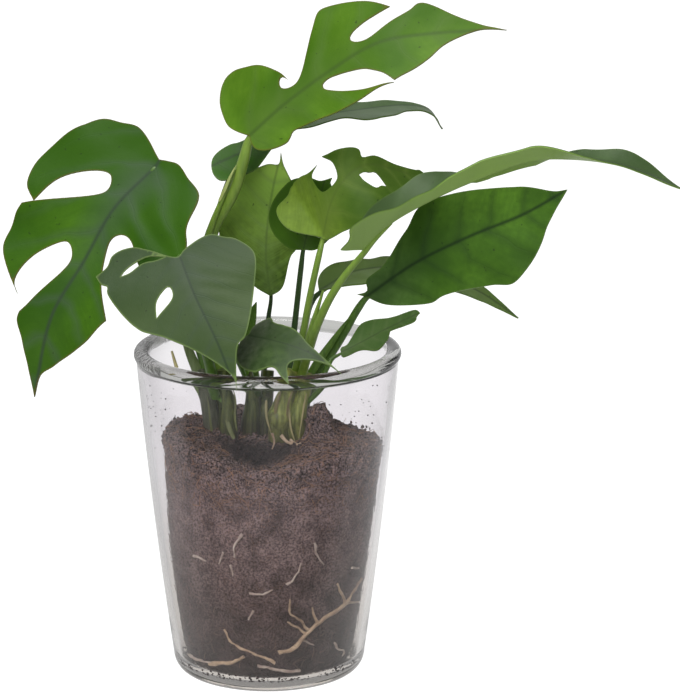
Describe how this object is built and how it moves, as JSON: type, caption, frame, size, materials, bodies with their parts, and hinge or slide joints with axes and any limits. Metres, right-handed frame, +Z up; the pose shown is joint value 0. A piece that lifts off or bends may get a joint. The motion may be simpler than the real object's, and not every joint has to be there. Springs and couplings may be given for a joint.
{
  "type": "potted monstera plant",
  "caption": "Young monstera whose holed and slit leaves stand on long stalks, rooted in a ball of dark peat that fills a clear tapered glass tumbler with a thick rolled rim.",
  "frame": {"origin": "centre of the flat underside of the glass", "axes": "+Z up through the glass; -Y is the front, where the large left leaf hangs to -X and the long narrow leaf reaches to +X"},
  "size_m": [0.2959, 0.1326, 0.3052],
  "materials": {
    "clear_glass": "clear polished",
    "peat": "dark crumbly fibrous",
    "root": "pale matt",
    "stem": "smooth green with dry sheath scraps",
    "leaf_dark": "satin deep green with paler back",
    "leaf_mid": "satin mid green with paler back",
    "leaf_grey": "glossy grey green",
    "leaf_bright": "satin yellow green"
  },
  "bodies": {
    "root": {"glass": "clear_glass", "root_ball": "peat", "root_branching": "root", "root_low_left": "root", "root_thick": "root", "root_low_middle": "root", "stem_left": "stem", "stem_middle": "stem", "stem_right": "stem", "leaf_left": "leaf_dark", "leaf_front_left": "leaf_grey", "leaf_top": "leaf_bright", "leaf_top_behind": "leaf_dark", "leaf_back": "leaf_mid", "leaf_round": "leaf_dark", "leaf_young": "leaf_bright", "leaf_long": "leaf_mid", "leaf_right": "leaf_dark", "leaf_arching": "leaf_mid", "leaf_rim": "leaf_grey", "leaf_small": "leaf_mid", "leaf_front": "leaf_grey"}
  },
  "joints": []
}
